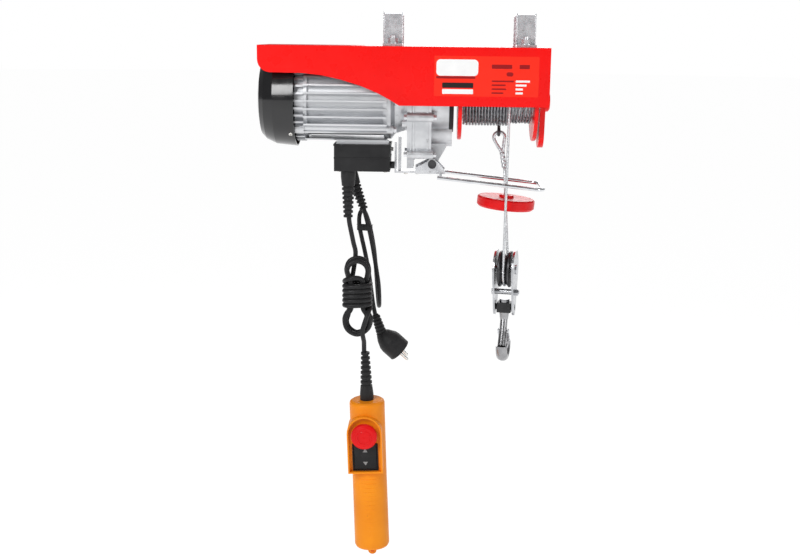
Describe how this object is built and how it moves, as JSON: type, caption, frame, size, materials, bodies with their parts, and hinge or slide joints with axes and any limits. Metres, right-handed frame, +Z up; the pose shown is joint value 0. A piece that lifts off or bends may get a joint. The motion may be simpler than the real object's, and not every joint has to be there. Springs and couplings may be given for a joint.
{
  "type": "electric wire rope hoist",
  "caption": "Electric wire rope hoist with a geared motor, rope drum, two-fall hook block, limit lever and a hand control on a cable.",
  "frame": {"origin": "middle of the saddle under the tops of the two hanger straps, where the supporting beam sits", "axes": "+X along the drum towards its free end, -Y to the operator, +Z up"},
  "size_m": [0.4485, 0.1536, 0.8788],
  "materials": {
    "housing_red": "semi-gloss paint",
    "drum_red": "gloss paint",
    "disc_red": "gloss paint",
    "zinc": "zinc plated",
    "lever_wire": "bright plated",
    "cast_aluminium": "as cast",
    "fin_aluminium": "die cast",
    "black_shell": "gloss",
    "black_plastic": "moulded",
    "black_rubber": "matte",
    "steel": "machined",
    "lamination": "laminated",
    "copper": "enamelled winding",
    "gear_steel": "oiled",
    "drum_iron": "turned",
    "rope": "stranded wire",
    "dark_steel": "oiled",
    "block_steel": "plated",
    "sheave_iron": "oiled",
    "black_iron": "blackened",
    "hook_steel": "forged, plated",
    "white_plastic": "moulded",
    "pin_metal": "nickel plated",
    "handset_orange": "satin moulded",
    "button_red": "satin moulded",
    "rocker_black": "moulded"
  },
  "bodies": {
    "root": {"housing": "housing_red", "hanger_left": "zinc", "hanger_right": "zinc", "hanger_bolts": "zinc", "end_bracket": "housing_red", "bearing_cap": "housing_red", "gear_bearings": "steel", "fan_cover": "black_shell", "rear_shield": "cast_aluminium", "motor_body": "fin_aluminium", "front_bell": "cast_aluminium", "stator_core": "lamination", "stator_windings": "copper", "motor_bearings": "steel", "tie_bolts": "zinc", "gearbox_housing": "cast_aluminium", "gear_cover": "cast_aluminium", "gearbox_bolts": "zinc", "box_pedestal": "cast_aluminium", "terminal_box": "black_plastic", "terminal_lid": "black_plastic", "capacitor": "white_plastic", "limit_switch": "black_plastic", "anchor_rod": "dark_steel", "rope_eye": "rope", "front_fall": "rope", "back_fall": "rope", "pendant_relief": "black_rubber", "mains_relief": "black_rubber", "pendant_cord_top": "black_rubber", "pendant_hank": "black_rubber", "pendant_cord_end": "black_rubber", "mains_cord": "black_rubber", "plug_body": "black_rubber", "plug_pins": "pin_metal", "handset_shell": "handset_orange", "handset_relief": "black_rubber"},
    "rotor": {"rotor": "steel", "fan": "black_plastic"},
    "layshaft": {"layshaft": "steel", "first_wheel": "gear_steel"},
    "drum": {"output_wheel": "gear_steel", "drum_shaft": "steel", "drum_barrel": "drum_iron", "drum_flanges": "drum_red", "rope_winding": "rope"},
    "plunger": {"switch_plunger": "white_plastic"},
    "lever": {"lever_strap": "zinc", "lever_loop": "lever_wire", "lever_pivot": "dark_steel"},
    "disc": {"stop_disc": "disc_red"},
    "block": {"block_cheeks": "block_steel", "block_bolts": "zinc", "rope_turn": "rope"},
    "sheave": {"sheave": "sheave_iron"},
    "crosshead": {"hook_crosshead": "black_iron"},
    "hook": {"hook": "hook_steel"},
    "latch": {"hook_latch": "zinc"},
    "stop_button": {"stop_button": "button_red"},
    "rocker": {"rocker": "rocker_black"}
  },
  "joints": [
    {"name": "rotor_turn", "type": "hinge", "parent": "root", "child": "rotor", "pos_m": [-0.18, 0, -0.128], "axis": [-1, 0, 0], "range_deg": [-22400, 3480]},
    {"name": "layshaft_turn", "type": "hinge", "parent": "root", "child": "layshaft", "pos_m": [-0.044, 0, -0.173], "axis": [-1, 0, 0], "range_deg": [-700, 4500]},
    {"name": "drum_turn", "type": "hinge", "parent": "root", "child": "drum", "pos_m": [0.06, 0, -0.128], "axis": [-1, 0, 0], "range_deg": [-900, 143]},
    {"name": "block_lift", "type": "slide", "parent": "root", "child": "block", "axis": [0, 0, 1], "range_m": [-0.283, 0.045], "deforming": ["front_fall", "back_fall"]},
    {"name": "sheave_turn", "type": "hinge", "parent": "block", "child": "sheave", "pos_m": [0.082, 0, -0.393], "axis": [-0.9781, 0.2079, 0], "range_deg": [-630, 100]},
    {"name": "crosshead_tilt", "type": "hinge", "parent": "block", "child": "crosshead", "pos_m": [0.082, 0, -0.455], "axis": [0.9781, -0.2079, 0], "range_deg": [-15, 15]},
    {"name": "hook_swivel", "type": "hinge", "parent": "crosshead", "child": "hook", "pos_m": [0.082, 0, -0.455], "axis": [0, 0, 1], "continuous": true},
    {"name": "latch_open", "type": "hinge", "parent": "hook", "child": "latch", "pos_m": [0.08138, -0.00293, -0.494], "axis": [-0.9781, 0.2079, 0], "range_deg": [0, 35], "stiffness_Nm_per_rad": 0.02, "springref_deg": -20.05},
    {"name": "disc_slide", "type": "slide", "parent": "root", "child": "disc", "axis": [0, 0, 1], "range_m": [0, 0.016]},
    {"name": "lever_lift", "type": "hinge", "parent": "root", "child": "lever", "pos_m": [-0.038, 0, -0.225], "axis": [0, -1, 0], "range_deg": [0, 4.5]},
    {"name": "plunger_press", "type": "slide", "parent": "root", "child": "plunger", "axis": [-1, 0, 0], "range_m": [0, 0.0025], "stiffness_N_per_m": 300, "springref_m": -0.001},
    {"name": "stop_press", "type": "slide", "parent": "root", "child": "stop_button", "axis": [0, 1, 0], "range_m": [0, 0.0035], "stiffness_N_per_m": 600, "springref_m": -0.001},
    {"name": "rocker_tilt", "type": "hinge", "parent": "root", "child": "rocker", "pos_m": [-0.13748, -0.0475, -0.69459], "axis": [0.9992, 0, 0.0401], "range_deg": [-5, 5], "stiffness_Nm_per_rad": 0.5}
  ],
  "couplings": [
    {"joint": "layshaft_turn", "follows": "rotor_turn", "ratio": -0.2},
    {"joint": "drum_turn", "follows": "rotor_turn", "ratio": 0.04},
    {"joint": "block_lift", "follows": "rotor_turn", "m_per_rad": 0.00072},
    {"joint": "sheave_turn", "follows": "rotor_turn", "ratio": 0.027692}
  ]
}
